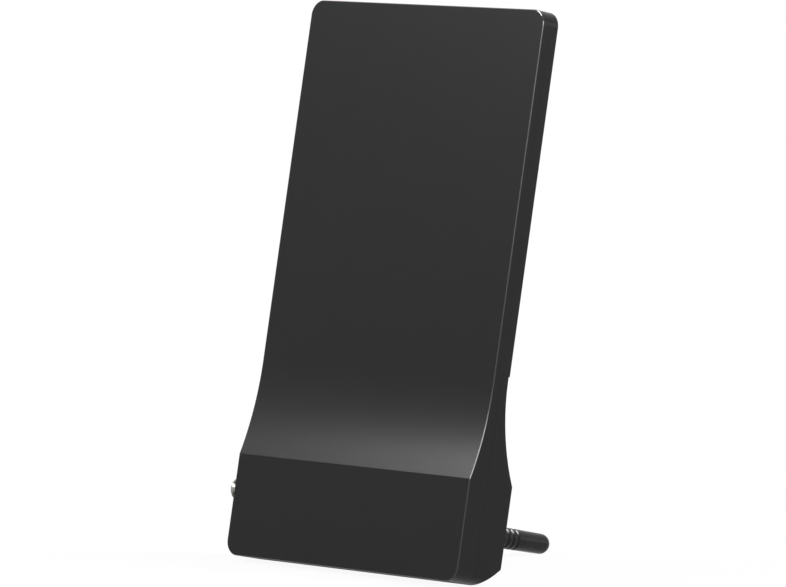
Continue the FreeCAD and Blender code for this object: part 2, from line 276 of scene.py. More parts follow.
def new_group(name: str, inputs: dict[str, float], outputs: Sequence[str]) -> bpy.types.NodeTree:
    """Make an empty shader node group with number sockets.

    Args:
        name: Name of the group.
        inputs: Input names with their defaults.
        outputs: Output names.

    Returns:
        The group's tree.
    """
    group = bpy.data.node_groups.new(name, "ShaderNodeTree")
    for label, default in inputs.items():
        socket = group.interface.new_socket(label, in_out="INPUT", socket_type="NodeSocketFloat")
        socket.default_value = default
    for label in outputs:
        group.interface.new_socket(label, in_out="OUTPUT", socket_type="NodeSocketFloat")
    return group


def mould_grain_group() -> bpy.types.NodeTree:
    """Build the grain that a spark-eroded mould leaves on plastic.

    Returns:
        A group with the inputs Grain size and Cloud size in metres, and the outputs Height, Tone and Gloss.
    """
    defaults = {"Grain size": 0.4 * MM, "Cloud size": 60.0 * MM}
    group = new_group("mould_grain", defaults, ("Height", "Tone", "Gloss"))
    tree = ShaderTree(group)
    given = tree.node("NodeGroupInput")
    made = tree.node("NodeGroupOutput")
    place = tree.node("ShaderNodeTexCoord").outputs["Object"]
    grain_scale = tree.math("DIVIDE", 1.0, given.outputs["Grain size"])
    cloud_scale = tree.math("DIVIDE", 1.0, given.outputs["Cloud size"])
    pits = tree.node("ShaderNodeTexVoronoi", feature="SMOOTH_F1")
    tree.feed(pits.inputs["Vector"], place)
    tree.feed(pits.inputs["Scale"], grain_scale)
    fine = tree.noise(place, tree.product(grain_scale, FINE_SCALE), FINE_DETAIL)
    cloud = tree.noise(place, cloud_scale, CLOUD_DETAIL)
    height = tree.total(tree.product(pits.outputs["Distance"], PIT_HEIGHT), fine)
    tree.feed(made.inputs["Height"], height)
    tree.feed(made.inputs["Tone"], tree.product(0.5, tree.total(fine, cloud)))
    tree.feed(made.inputs["Gloss"], cloud)
    return group


def tool_marks_group() -> bpy.types.NodeTree:
    """Build the fine lines that turning, rolling or plating leaves on metal.

    Returns:
        A group with the inputs Along X, Along Y and Along Z, in lines per metre, and the outputs Height and
        Tone.
    """
    defaults = ToolMarks.TURNED.along()
    group = new_group("tool_marks", defaults, ("Height", "Tone"))
    tree = ShaderTree(group)
    given = tree.node("NodeGroupInput")
    made = tree.node("NodeGroupOutput")
    place = tree.node("ShaderNodeTexCoord").outputs["Object"]
    stretch = tree.node("ShaderNodeCombineXYZ")
    for axis, label in enumerate(defaults):
        tree.feed(stretch.inputs[axis], given.outputs[label])
    spread = tree.node("ShaderNodeVectorMath", operation="MULTIPLY")
    tree.feed(spread.inputs[0], place)
    tree.feed(spread.inputs[1], stretch.outputs[0])
    tree.feed(made.inputs["Height"], tree.noise(spread.outputs[0], LINE_SCALE, LINE_DETAIL))
    tree.feed(made.inputs["Tone"], tree.noise(spread.outputs[0], STAIN_SCALE, STAIN_DETAIL))
    return group


class Effects:
    """The shared shader node groups, built once."""

    def __init__(self) -> None:
        """Build both groups."""
        self.grain = mould_grain_group()
        self.marks = tool_marks_group()


def place_group(tree: ShaderTree, group: bpy.types.NodeTree, values: dict[str, float]) -> bpy.types.Node:
    """Put a shared group into a material with its own values.

    Args:
        tree: Tree of the material.
        group: Group to place.
        values: Its inputs by name.

    Returns:
        The group's node.
    """
    made = tree.node("ShaderNodeGroup", node_tree=group)
    for name, value in values.items():
        made.inputs[name].default_value = value
    return made


def shader_start(slot: Slot) -> tuple[bpy.types.Material, ShaderTree, bpy.types.Node]:
    """Make a material with a Principled shader joined to its output.

    Args:
        slot: Material slot that names it.

    Returns:
        The material, its tree and its shader.
    """
    material = bpy.data.materials.new(slot.value)
    material.use_nodes = True
    tree = ShaderTree(material.node_tree)
    shader = tree.node("ShaderNodeBsdfPrincipled")
    output = tree.node("ShaderNodeOutputMaterial")
    tree.feed(output.inputs["Surface"], shader.outputs["BSDF"])
    return material, tree, shader


def bump_into(tree: ShaderTree, shader: bpy.types.Node, height: bpy.types.NodeSocket, depth: float) -> None:
    """Raise the shader's normal by a height.

    Args:
        tree: Tree of the material.
        shader: Shader whose normal is raised.
        height: Height from 0 to 1.
        depth: What a height of 1 stands for, in metres.
    """
    bump = tree.node("ShaderNodeBump")
    bump.inputs["Distance"].default_value = depth
    tree.feed(bump.inputs["Height"], height)
    tree.feed(shader.inputs["Normal"], bump.outputs["Normal"])


def shaded(colour: Colour, factor: float) -> tuple[float, float, float, float]:
    """Give a colour times a factor, with full alpha."""
    return (colour[0] * factor, colour[1] * factor, colour[2] * factor, 1.0)


def mottle(tree: ShaderTree, shader: bpy.types.Node, tone: bpy.types.NodeSocket, colour: Colour,
           spread: float) -> None:
    """Let the shader's colour vary round its mean.

    Args:
        tree: Tree of the material.
        shader: Shader whose colour varies.
        tone: Pattern from 0, dark, to 1, light.
        colour: The mean.
        spread: How far dark and light are from it, as a share.
    """
    dark = shaded(colour, 1.0 - spread)
    light = shaded(colour, 1.0 + spread)
    tree.feed(shader.inputs["Base Color"], tree.blend(tone, dark, light))


@dataclass(frozen=True)
class PlasticFinish:
    """Moulded plastic, resin or rubber with the grain of its mould."""

    slot: Slot
    colour: Colour
    roughness: float
    specular: float = 0.5
    grain_size: float = 0.4 * MM
    grain_depth: float = 0.01 * MM
    spread: float = 0.1
    gloss_spread: float = 0.03
    coarse: float = 0.0
    polish_roughness: float = 0.12

    def build(self, effects: Effects) -> bpy.types.Material:
        """Make the material.

        Args:
            effects: The shared groups.

        Returns:
            The finished material.
        """
        material, tree, shader = shader_start(self.slot)
        grain = place_group(tree, effects.grain, {"Grain size": self.grain_size})
        mottle(tree, shader, grain.outputs["Tone"], self.colour, self.spread)
        low, high = self.roughness - self.gloss_spread, self.roughness + self.gloss_spread
        rough = tree.between(grain.outputs["Gloss"], low, high)
        if self.coarse > 0.0:
            rough = tree.total(rough, tree.product(tree.mark(FaceMark.COARSE), self.coarse))
            tree.feed(shader.inputs["Coat Weight"], tree.mark(FaceMark.POLISHED))
            shader.inputs["Coat Roughness"].default_value = self.polish_roughness
        tree.feed(shader.inputs["Roughness"], rough)
        shader.inputs["Specular IOR Level"].default_value = self.specular
        bump_into(tree, shader, grain.outputs["Height"], self.grain_depth)
        return material


@dataclass(frozen=True)
class MetalFinish:
    """Bare or plated metal with the marks of its tool."""

    slot: Slot
    colour: Colour
    roughness: float
    marks: ToolMarks
    mark_depth: float = 0.004 * MM
    spread: float = 0.12
    gloss_spread: float = 0.3

    def build(self, effects: Effects) -> bpy.types.Material:
        """Make the material.

        Args:
            effects: The shared groups.

        Returns:
            The finished material.
        """
        material, tree, shader = shader_start(self.slot)
        marks = place_group(tree, effects.marks, self.marks.along())
        mottle(tree, shader, marks.outputs["Tone"], self.colour, self.spread)
        low, high = self.roughness * (1.0 - self.gloss_spread), self.roughness * (1.0 + self.gloss_spread)
        tree.feed(shader.inputs["Roughness"], tree.between(marks.outputs["Tone"], low, high))
        shader.inputs["Metallic"].default_value = 1.0
        bump_into(tree, shader, marks.outputs["Height"], self.mark_depth)
        return material


FINISHES: tuple[PlasticFinish | MetalFinish, ...] = (
    PlasticFinish(Slot.MOULDING, (0.0076, 0.0076, 0.0078), 0.26, specular=0.142, grain_depth=0.003 * MM,
                  gloss_spread=0.006, coarse=0.6),
    PlasticFinish(Slot.LEG, (0.0085, 0.0085, 0.0087), 0.27, specular=0.165, grain_depth=0.003 * MM,
                  gloss_spread=0.006),
    MetalFinish(Slot.RADIATOR, (0.80, 0.81, 0.82), 0.30, ToolMarks.ROLLED),
    PlasticFinish(Slot.WIRE, (0.030, 0.030, 0.032), 0.45, grain_size=0.8 * MM),
    PlasticFinish(Slot.BOARD, (0.020, 0.130, 0.050), 0.32, grain_size=0.7 * MM, spread=0.2),
    MetalFinish(Slot.TINPLATE, (0.70, 0.71, 0.71), 0.33, ToolMarks.ROLLED),
    PlasticFinish(Slot.RESIN, (0.020, 0.020, 0.021), 0.55, grain_size=0.2 * MM),
    PlasticFinish(Slot.FERRITE, (0.045, 0.045, 0.047), 0.65, grain_size=0.3 * MM, grain_depth=0.02 * MM),
    MetalFinish(Slot.NICKEL, (0.29, 0.285, 0.27), 0.08, ToolMarks.TURNED),
    PlasticFinish(Slot.INSULATOR, (0.70, 0.70, 0.67), 0.40, grain_size=0.5 * MM, spread=0.04),
    MetalFinish(Slot.BRASS, (0.78, 0.60, 0.28), 0.25, ToolMarks.TURNED),
    MetalFinish(Slot.ZINC, (0.30, 0.30, 0.31), 0.35, ToolMarks.PLATED),
)


# Mesh helpers

def mesh_from(name: str, bm: bmesh.types.BMesh) -> bpy.types.Mesh:
    """Turn a working mesh into a stored one, with its faces pointing outwards.

    Args:
        name: Name of the mesh.
        bm: Working mesh, which is freed.

    Returns:
        The stored mesh.
    """
    bmesh.ops.remove_doubles(bm, verts=bm.verts, dist=MERGE_DISTANCE)
    bmesh.ops.recalc_face_normals(bm, faces=bm.faces)
    mesh = bpy.data.meshes.new(name)
    bm.to_mesh(mesh)
    bm.free()
    return mesh


def new_object(name: str, mesh: bpy.types.Mesh) -> bpy.types.Object:
    """Put a mesh into the scene at the origin.

    Args:
        name: Name of the object.
        mesh: Its mesh.

    Returns:
        The object.
    """
    made = bpy.data.objects.new(name, mesh)
    bpy.context.scene.collection.objects.link(made)
    return made


def angles(count: int) -> list[float]:
    """Angles that divide a full turn."""
    return [2 * math.pi * index / count for index in range(count)]


def skin(bm: bmesh.types.BMesh,
         rings: Sequence[Sequence[bmesh.types.BMVert]]) -> list[list[bmesh.types.BMFace]]:
    """Join each ring of points to the next by four-sided faces.

    Args:
        bm: Working mesh.
        rings: Closed rings with the same number of points.

    Returns:
        The new faces, in one row for each pair of rings.
    """
    rows = []
    for first, second in zip(rings, rings[1:]):
        row = []
        for index in range(len(first)):
            after = (index + 1) % len(first)
            row.append(bm.faces.new((first[index], first[after], second[after], second[index])))
        rows.append(row)
    return rows


def bake_modifiers(obj: bpy.types.Object) -> None:
    """Turn what an object's modifiers show into its own plain mesh.

    Args:
        obj: Object whose modifiers are applied and removed.
    """
    bpy.context.view_layer.update()
    graph = bpy.context.evaluated_depsgraph_get()
    mesh = bpy.data.meshes.new_from_object(obj.evaluated_get(graph), depsgraph=graph)
    mesh.name = obj.name
    obj.modifiers.clear()
    obj.data = mesh


def shade(obj: bpy.types.Object) -> None:
    """Shade smoothly, with creases where faces meet at an angle and flats kept flat.

    Args:
        obj: Object to shade.
    """
    obj.data.shade_smooth()
    obj.data.set_sharp_from_angle(angle=SMOOTH_ANGLE)
    weighted = obj.modifiers.new("flat faces stay flat", "WEIGHTED_NORMAL")
    weighted.keep_sharp = True
    bake_modifiers(obj)


def mark_faces(obj: bpy.types.Object, mark: FaceMark, chosen: FaceChoice) -> None:
    """Set a mark on some of an object's faces.

    Args:
        obj: Object with its finished mesh.
        mark: Which mark to set.
        chosen: Whether a face carries it.
    """
    layer = obj.data.attributes.new(mark.value, "FLOAT", "FACE")
    layer.data.foreach_set("value", [float(chosen(face)) for face in obj.data.polygons])


def end_faces(placement: Matrix) -> FaceChoice:
    """Choose the faces of the top and the underside, which look up or down when the part is upright.

    Args:
        placement: Placement of upright coordinates.

    Returns:
        The choice, for one face at a time.
    """
    up = placement.to_3x3() @ Vector((0.0, 0.0, 1.0))
    return lambda face: abs(face.normal.dot(up)) > END_FACE_COSINE


class Dresser:
    """Gives pieces their finish and fastens them to the part's body."""

    def __init__(self) -> None:
        """Build every finish once."""
        effects = Effects()
        self.materials = {finish.slot: finish.build(effects) for finish in FINISHES}

    def coat(self, obj: bpy.types.Object, slot: Slot) -> None:
        """Replace an object's materials by one finish."""
        obj.data.materials.clear()
        obj.data.materials.append(self.materials[slot])

    def fasten(self, obj: bpy.types.Object, slot: Slot, nodes: Iterable[str]) -> None:
        """Coat a new piece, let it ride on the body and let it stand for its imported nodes.

        Args:
            obj: The new piece.
            slot: Slot of its finish.
            nodes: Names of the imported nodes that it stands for.
        """
        self.coat(obj, slot)
        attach(obj, BODY)
        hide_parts(*nodes)
        log.info("%s: %d faces, %s", obj.name, len(obj.data.polygons), slot.value)

    def lay(self, obj: bpy.types.Object, placement: Matrix, slot: Slot, node: str) -> None:
        """Lay an upright piece back with the part, shade it and fasten it.

        Args:
            obj: The new piece, in upright coordinates.
            placement: Placement of upright coordinates.
            slot: Slot of its finish.
            node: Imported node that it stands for.
        """
        obj.data.transform(placement)
        shade(obj)
        self.fasten(obj, slot, (node,))

    def mould(self, obj: bpy.types.Object, placement: Matrix, slot: Slot, node: str) -> None:
        """Shade a moulding that is in its place, mark its end faces and fasten it.

        Args:
            obj: The new moulding.
            placement: Placement of upright coordinates.
            slot: Slot of its finish.
            node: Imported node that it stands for.
        """
        shade(obj)
        mark_faces(obj, FaceMark.COARSE, end_faces(placement))
        self.fasten(obj, slot, (node,))

    def keep(self, node: str, slot: Slot) -> None:
        """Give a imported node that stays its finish."""
        self.coat(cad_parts[node], slot)
        log.info("%s: packed shape, %s", node, slot.value)


# Mouldings

@dataclass
class FrontHousing:
    """Front moulding: panel, ramp, ledge and base front in one shell, open at the back.

    The ramp is an arc that comes forward by step, from ramp_top down to the ledge. Above the notch the
    shell is as deep as the panel, and below it the shell ends at the parting line. An edge_flatness of 1
    would make the front edge a quarter circle, and one of 2 a chamfer.
    """

    width: float = 120.0 * MM
    height: float = 205.0 * MM
    thickness: float = 7.6 * MM
    corner: float = 5.5 * MM
    edge: float = 0.31 * MM
    step: float = 5.2 * MM
    ledge: float = 37.0 * MM
    ramp_top: float = 72.5 * MM
    parting: float = 3.4 * MM
    notch: float = 74.6 * MM
    wall: float = 2.0 * MM
    ease: float = 0.06 * MM
    crease: float = 0.08 * MM
    edge_flatness: float = 1.85
    columns: int = 16
    arc_steps: int = 12
    ramp_steps: int = 36
    edge_steps: int = 4
    panel_steps: int = 12
    notch_step: float = 0.02 * MM
    base_shares: tuple[float, ...] = (0.0, 0.25, 0.5, 0.75, 0.95)
    ease_shares: Pairs = ((0.0, 1.0), (0.3, 0.3), (1.0, 0.0))
    node: str = "front_housing"

    def ramp_radius(self) -> float:
        """Radius of the ramp, which leaves the panel without a kink."""
        drop = self.ramp_top - self.ledge
        return (drop ** 2 + self.step ** 2) / (2 * self.step)

    def depth(self, up: float, inset: float) -> float:
        """Depth of the front surface, or of the wall's inside when inset.

        Args:
            up: Height along the panel.
            inset: Distance into the wall.

        Returns:
            Distance back from the panel's front plane.
        """
        if up >= self.ramp_top:
            return inset
        radius = self.ramp_radius()
        curve = math.sqrt((radius + inset) ** 2 - (self.ramp_top - up) ** 2) - radius
        return max(curve, inset - self.step)

    def side_heights(self) -> list[float]:
        """Place the rows along the straight part of a side.

        Returns:
            Their heights, from the lower corner to the upper one.
        """
        base = [self.corner + (self.ledge - self.corner) * share for share in self.base_shares]
        base += [self.ledge - self.crease, self.ledge + self.crease]
        ramp_run = self.ramp_top - self.ledge
        ramp = [self.ledge + ramp_run * index / self.ramp_steps for index in range(1, self.ramp_steps + 1)]
        notch = [self.notch - self.notch_step, self.notch + self.notch_step]
        steps = self.panel_steps
        straight = self.height - self.corner - self.notch
        panel = [self.notch + straight * index / steps for index in range(1, steps + 1)]
        return base + ramp + notch + panel

    def rows(self, inset: float) -> list[tuple[float, float]]:
        """Half width and height of each row of the front outline, moved inwards.

        Args:
            inset: Distance from the outline.

        Returns:
            Rows from the bottom edge to the top edge.
        """
        middle = self.width / 2 - self.corner
        radius = self.corner - inset
        turns = [math.pi / 2 * index / self.arc_steps for index in range(self.arc_steps)]
        low = [(middle + radius * math.sin(a), self.corner - radius * math.cos(a)) for a in turns]
        side = [(self.width / 2 - inset, up) for up in self.side_heights()]
        top = self.height - self.corner
        high = [(middle + radius * math.sin(a), top + radius * math.cos(a)) for a in reversed(turns)]
        return low + side + high

    def rear(self, up: float) -> float:
        """Depth of the shell's rear edge at a height."""
        return self.parting if up < self.notch else self.thickness

    def shares(self) -> list[float]:
        """Places of the columns, from -1 at the left edge to 1 at the right edge."""
        return [2 * index / self.columns - 1 for index in range(self.columns + 1)]

    def ring(self, inset: float, depth: Callable[[float], float]) -> list[Vector]:
        """Closed ring of points round the outline.

        Args:
            inset: Distance from the outline.
            depth: Depth of a point, from its height.

        Returns:
            Points along the bottom, up the right side, along the top and down the left side.
        """
        rows = self.rows(inset)
        shares = self.shares()
        flat = [(share * rows[0][0], rows[0][1]) for share in shares]
        flat += [(half, up) for half, up in rows[1:-1]]
        flat += [(share * rows[-1][0], rows[-1][1]) for share in reversed(shares)]
        flat += [(-half, up) for half, up in reversed(rows[1:-1])]
        return [Vector((across, depth(up), up)) for across, up in flat]

    def add_face_grid(self, bm: bmesh.types.BMesh, inset: float, into: float) -> None:
        """Add the front surface, or the wall's inside, as rows of four-sided faces.

        Args:
            bm: Working mesh.
            inset: Distance from the outline.
            into: Distance into the wall.
        """
        shares = self.shares()
        lines = []
        for half, up in self.rows(inset):
            back = self.depth(up, into)
            lines.append([bm.verts.new((share * half, back, up)) for share in shares])
        for lower, upper in zip(lines, lines[1:]):
            for index in range(self.columns):
                bm.faces.new((lower[index], lower[index + 1], upper[index + 1], upper[index]))

    def layers(self) -> list[list[Vector]]:
        """Lay rings round the shell, from the front surface's border to the wall's inside.

        Returns:
            Rings over the rounded edge, round the rear edge and down the inside.
        """
        made = []
        for index in range(self.edge_steps + 1):
            turn = math.pi / 2 * index / self.edge_steps
            inset = self.edge * (1 - math.sin(turn) ** self.edge_flatness)
            back = self.edge * (1 - math.cos(turn) ** self.edge_flatness)
            made.append(self.ring(inset, lambda up, back=back: self.depth(up, 0.0) + back))
        for inset_share, back_share in self.ease_shares:
            short = self.ease * back_share
            made.append(self.ring(self.ease * inset_share, lambda up, short=short: self.rear(up) - short))
        made.append(self.ring(self.wall, self.rear))
        made.append(self.ring(self.wall, lambda up: self.depth(up, self.wall)))
        return made

    def build(self, placement: Matrix, dresser: Dresser) -> None:
        """Make the shell and dress it.

        Args:
            placement: Placement of upright coordinates.
            dresser: Gives it its finish.
        """
        bm = bmesh.new()
        polished = bm.faces.layers.float.new(FaceMark.POLISHED.value)
        self.add_face_grid(bm, self.edge, 0.0)
        self.add_face_grid(bm, self.wall, self.wall)
        rings = [[bm.verts.new(spot) for spot in layer] for layer in self.layers()]
        for row in skin(bm, rings)[:self.edge_steps]:
            for face in row:
                face[polished] = 1.0
        mesh = mesh_from("front_shell", bm)
        mesh.transform(placement)
        dresser.mould(new_object("front_shell", mesh), placement, Slot.MOULDING, self.node)


@dataclass
class MouldedShell:
    """Moulding that keeps its packed form, with every crisp edge eased as a mould eases it."""

    name: str
    node: str
    slot: Slot
    ease: float = 0.1 * MM
    segments: int = 2
    flat_angle: float = math.radians(0.5)
    crisp_angle: float = math.radians(38.0)

    def build(self, placement: Matrix, dresser: Dresser) -> None:
        """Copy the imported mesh, merge it, ease its edges and dress it.

        Args:
            placement: Placement of upright coordinates.
            dresser: Gives it its finish.
        """
        bm = bmesh.new()
        bm.from_mesh(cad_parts[self.node].data)
        bmesh.ops.remove_doubles(bm, verts=bm.verts, dist=MERGE_DISTANCE)
        bmesh.ops.dissolve_limit(bm, angle_limit=self.flat_angle, verts=bm.verts, edges=bm.edges)
        mesh = bpy.data.meshes.new(self.name)
        bm.to_mesh(mesh)
        bm.free()
        shell = new_object(self.name, mesh)
        bevel = shell.modifiers.new("eased edges", "BEVEL")
        bevel.width = self.ease
        bevel.segments = self.segments
        bevel.limit_method = "ANGLE"
        bevel.angle_limit = self.crisp_angle
        bevel.use_clamp_overlap = True
        bake_modifiers(shell)
        dresser.mould(shell, placement, self.slot, self.node)


# Forms that follow a rule

class FormTree(NodeWork):
    """Geometry node tree with named sizes, which ends in real faces with one finish."""

    def __init__(self, name: str, sizes: dict[str, float]) -> None:
        """Start a tree with its inputs.

        Args:
            name: Name of the tree.
            sizes: Named sizes in metres or plain numbers.
        """
        group = bpy.data.node_groups.new(name, "GeometryNodeTree")
        super().__init__(group)
        group.interface.new_socket("Geometry", in_out="INPUT", socket_type="NodeSocketGeometry")
        group.interface.new_socket("Geometry", in_out="OUTPUT", socket_type="NodeSocketGeometry")
        for label, value in sizes.items():
            socket = group.interface.new_socket(label, in_out="INPUT", socket_type="NodeSocketFloat")
            socket.default_value = value
        self.sizes = sizes
        self.given = self.node("NodeGroupInput").outputs
        self.made = self.node("NodeGroupOutput").inputs["Geometry"]

    def ring_grid(self, rings: int, around: int) -> tuple[bpy.types.NodeSocket, ...]:
        """Add a grid that is meant to be wrapped into rings.

        Args:
            rings: Number of rings.
            around: Faces in each ring.

        Returns:
            The grid, the number of a point's ring, and the point's share of the way round.
        """
        grid = self.node("GeometryNodeMeshGrid")
        grid.inputs["Vertices X"].default_value = rings
        grid.inputs["Vertices Y"].default_value = around + 1
        index = self.node("GeometryNodeInputIndex").outputs["Index"]
        ring = self.math("FLOOR", self.math("DIVIDE", self.total(index, 0.5), around + 1.0))
        place = self.math("SUBTRACT", index, self.product(ring, around + 1.0))
        return grid.outputs["Mesh"], ring, self.math("DIVIDE", place, float(around))

    def vector(self, x: object, y: object, z: object) -> bpy.types.NodeSocket:
        """Join three values into a vector.

        Args:
            x: How far across.
            y: How far back.
            z: How far up.

        Returns:
            The vector's socket.
        """
        made = self.node("ShaderNodeCombineXYZ")
        for socket, value in zip(made.inputs, (x, y, z)):
            self.feed(socket, value)
        return made.outputs[0]

    def place(self, mesh: bpy.types.NodeSocket, spot: bpy.types.NodeSocket) -> bpy.types.NodeSocket:
        """Move a mesh's points to given spots and close its seams and poles.

        Args:
            mesh: Mesh to shape.
            spot: Where each point goes.

        Returns:
            The closed mesh.
        """
        moved = self.node("GeometryNodeSetPosition")
        self.feed(moved.inputs["Geometry"], mesh)
        self.feed(moved.inputs["Position"], spot)
        merged = self.node("GeometryNodeMergeByDistance")
        self.feed(merged.inputs["Geometry"], moved.outputs["Geometry"])
        merged.inputs["Distance"].default_value = MERGE_DISTANCE
        return merged.outputs["Geometry"]

    def finish(self, form: bpy.types.NodeSocket, material: bpy.types.Material) -> None:
        """End the tree: real faces, one finish.

        Args:
            form: Geometry to hand out.
            material: Its finish.
        """
        real = self.node("GeometryNodeRealizeInstances")
        self.feed(real.inputs["Geometry"], form)
        coated = self.node("GeometryNodeSetMaterial")
        self.feed(coated.inputs["Geometry"], real.outputs["Geometry"])
        coated.inputs["Material"].default_value = material
        self.feed(self.made, coated.outputs["Geometry"])

    def grow(self, name: str, start: bpy.types.Mesh) -> bpy.types.Object:
        """Run the tree on a mesh and keep what it makes as a plain mesh.

        Args:
            name: Name of the new object.
            start: Mesh that the tree is given.

        Returns:
            The object, at the origin.
        """
        obj = bpy.data.objects.new(name, start)
        grown = obj.modifiers.new(self.tree.name, "NODES")
        grown.node_group = self.tree
        for item in self.tree.interface.items_tree:
            if item.in_out == "INPUT" and item.name in self.sizes:
                grown[item.identifier] = self.sizes[item.name]
        bpy.context.scene.collection.objects.link(obj)
        bake_modifiers(obj)
        return obj


def weld(obj: bpy.types.Object, extra: Sequence[bpy.types.Mesh] = ()) -> None:
    """Join further meshes to an object's own, close the joins and turn all faces outwards.

    Args:
        obj: Object to tidy.
        extra: Meshes to join to it.
    """
    bm = bmesh.new()
    for mesh in (obj.data, *extra):
        bm.from_mesh(mesh)
    bmesh.ops.remove_doubles(bm, verts=bm.verts, dist=MERGE_DISTANCE)
    bmesh.ops.dissolve_degenerate(bm, edges=bm.edges, dist=MERGE_DISTANCE)
    bmesh.ops.recalc_face_normals(bm, faces=bm.faces)
    bm.to_mesh(obj.data)
    bm.free()


@dataclass
class PropLeg:
    """Round prop leg: tapered, with V-shaped grip grooves behind a smooth round tip."""

    height: float = 20.0 * MM
    back: float = 16.3 * MM
    reach: float = 81.7 * MM
    root_radius: float = 4.6 * MM
    tip_radius: float = 3.75 * MM
    groove_count: int = 4
    groove_pitch: float = 2.65 * MM
    groove_width: float = 1.5 * MM
    groove_depth: float = 0.4 * MM
    smooth_tip: float = 17.6 * MM
    around: int = 48
    root_rings: int = 12
    land_steps: int = 2
    groove_steps: int = 6
    tip_rings: int = 6
    dome_rings: int = 12
    node: str = "rear_leg"

    def sizes(self) -> dict[str, float]:
        """Name the sizes that the tree takes.

        Returns:
            Lengths of the leg's runs, and the rest of its sizes, by the names of the inputs.
        """
        grip = self.groove_count * self.groove_pitch
        return {
            "Height": self.height,
            "Back": self.back,
            "Root run": self.reach - self.smooth_tip - grip,
            "Grip run": grip,
            "Tip run": self.smooth_tip - self.tip_radius,
            "Root radius": self.root_radius,
            "Tip radius": self.tip_radius,
            "Groove pitch": self.groove_pitch,
            "Groove width": self.groove_width,
            "Groove depth": self.groove_depth,
        }

    def tree(self, material: bpy.types.Material) -> FormTree:
        """Build the tree that turns the leg.

        Args:
            material: Finish of the leg.

        Returns:
            The finished tree.
        """
        tree = FormTree("prop_leg", self.sizes())
        given = tree.given
        steps = self.land_steps + self.groove_steps
        counts = (1, self.root_rings, self.groove_count * steps, self.tip_rings, self.dome_rings)
        mesh, ring, share = tree.ring_grid(sum(counts) + 1, self.around)
        # How far a ring is through the root, the grip, the tip and the dome
        ends = [float(sum(counts[:index])) for index in range(1, len(counts) + 1)]
        root, grip, tip, dome = [tree.share(ring, low, high) for low, high in zip(ends, ends[1:])]
        bend = tree.product(dome, math.pi / 2)
        # Along the grip, a land and a groove take turns
        place = tree.product(grip, float(counts[2]))
        passed = tree.math("FLOOR", tree.math("DIVIDE", place, float(steps)))
        step = tree.math("MODULO", place, float(steps))
        land = tree.product(tree.share(step, 0.0, float(self.land_steps)),
                            tree.math("SUBTRACT", given["Groove pitch"], given["Groove width"]))
        groove = tree.share(step, float(self.land_steps), float(steps))
        in_grip = tree.total(tree.product(passed, given["Groove pitch"]), land,
                             tree.product(groove, given["Groove width"]))
        cut = tree.product(tree.math("PINGPONG", tree.product(groove, 2.0), 1.0), given["Groove depth"])
        # The radius narrows towards the tip, less the groove's cut
        taper_run = tree.total(given["Root run"], given["Grip run"], given["Tip run"])
        run = tree.total(tree.product(root, given["Root run"]), in_grip,
                         tree.product(tip, given["Tip run"]))
        narrowing = tree.math("SUBTRACT", given["Tip radius"], given["Root radius"])
        taper = tree.product(tree.math("DIVIDE", run, taper_run), narrowing)
        full = tree.math("SUBTRACT", tree.total(given["Root radius"], taper), cut)
        radius = tree.product(full, tree.math("COSINE", bend), tree.share(ring, 0.0, 1.0))
        reach = tree.total(given["Back"], run, tree.product(given["Tip radius"], tree.math("SINE", bend)))
        turn = tree.product(share, 2 * math.pi)
        up = tree.total(given["Height"], tree.product(radius, tree.math("COSINE", turn)))
        spot = tree.vector(tree.product(radius, tree.math("SINE", turn)), reach, up)
        tree.finish(tree.place(mesh, spot), material)
        return tree

    def build(self, placement: Matrix, dresser: Dresser) -> None:
        """Turn the leg and dress it.

        Args:
            placement: Placement of upright coordinates.
            dresser: Gives it its finish.
        """
        tree = self.tree(dresser.materials[Slot.LEG])
        leg = tree.grow("prop_leg", bpy.data.meshes.new("prop_leg"))
        weld(leg)
        dresser.lay(leg, placement, Slot.LEG, self.node)


@dataclass(frozen=True)
class Stance:
    """How the upright part leans back until its leg's tip and its underside's rear edge share a level."""

    leg: PropLeg
    bevel_depth: float = 8.6 * MM

    def lean(self) -> float:
        """Work out the lean from the leg.

        Returns:
            Its angle in radians.
        """
        leg = self.leg
        run = leg.reach - leg.tip_radius + self.bevel_depth
        slant = math.hypot(leg.height, run)
        return math.acos(leg.tip_radius / slant) - math.atan2(run, leg.height)

    def matrix(self) -> Matrix:
        """Placement of upright coordinates (across, back, up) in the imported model.

        Returns:
            The lean about X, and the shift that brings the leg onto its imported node.
        """
        leg = self.leg
        turn = Matrix.Rotation(-self.lean(), 4, "X")
        tip = turn @ Vector((0.0, leg.back + leg.reach - leg.tip_radius, leg.height))
        edge = turn @ Vector((0.0, leg.back - self.bevel_depth, 0.0))
        low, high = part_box(leg.node)
        shift = Vector(((low.x + high.x) / 2, high.y - leg.tip_radius - tip.y, -edge.z))
        return Matrix.Translation(shift) @ turn


